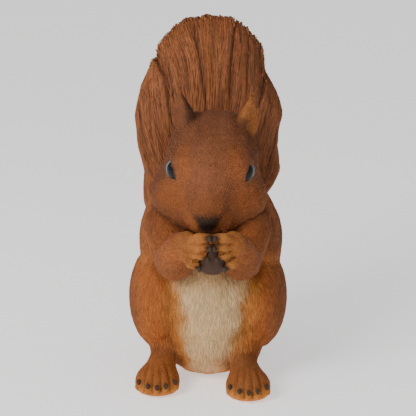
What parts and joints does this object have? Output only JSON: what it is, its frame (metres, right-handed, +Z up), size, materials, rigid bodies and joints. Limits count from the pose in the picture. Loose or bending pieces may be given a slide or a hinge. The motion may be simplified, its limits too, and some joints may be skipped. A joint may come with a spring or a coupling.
{
  "type": "squirrel garden figure",
  "caption": "Painted cast resin figure of a red squirrel sitting upright, eating a nut in its forepaws, tail raised behind its back.",
  "frame": {"origin": "on the floor, under the middle of the whole figure's box", "axes": "+Z up, the face towards -Y, the animal's left side at +X"},
  "size_m": [0.096, 0.1392, 0.2058],
  "materials": {
    "fox_paint": "matt red-brown paint over resin with carved fur",
    "cream_paint": "matt cream paint over resin with carved fur, fox-red at its sides and back",
    "dark_paint": "matt blackish-brown paint on nose and claws",
    "nut_paint": "satin dark brown paint on the nut",
    "eye_gloss": "glossy black enamel eyes"
  },
  "bodies": {
    "root": {"ear_left": "fox_paint", "ear_right": "fox_paint", "eye_left": "eye_gloss", "eye_right": "eye_gloss", "fore_claw_1_left": "dark_paint", "fore_claw_1_right": "dark_paint", "fore_claw_2_left": "dark_paint", "fore_claw_2_right": "dark_paint", "fore_claw_3_left": "dark_paint", "fore_claw_3_right": "dark_paint", "fore_claw_4_left": "dark_paint", "fore_claw_4_right": "dark_paint", "forearm_left": "fox_paint", "forearm_right": "fox_paint", "forepaw_left": "fox_paint", "forepaw_right": "fox_paint", "head": "fox_paint", "hind_claw_1_left": "dark_paint", "hind_claw_1_right": "dark_paint", "hind_claw_2_left": "dark_paint", "hind_claw_2_right": "dark_paint", "hind_claw_3_left": "dark_paint", "hind_claw_3_right": "dark_paint", "hind_claw_4_left": "dark_paint", "hind_claw_4_right": "dark_paint", "hind_claw_5_left": "dark_paint", "hind_claw_5_right": "dark_paint", "hind_foot_left": "fox_paint", "hind_foot_right": "fox_paint", "neck": "fox_paint", "nose": "dark_paint", "nut": "nut_paint", "shin_left": "fox_paint", "shin_right": "fox_paint", "tail_base": "fox_paint", "tail_middle": "fox_paint", "tail_tip": "fox_paint", "thigh_left": "fox_paint", "thigh_right": "fox_paint", "trunk": "cream_paint", "upper_arm_left": "fox_paint", "upper_arm_right": "fox_paint"}
  },
  "joints": []
}
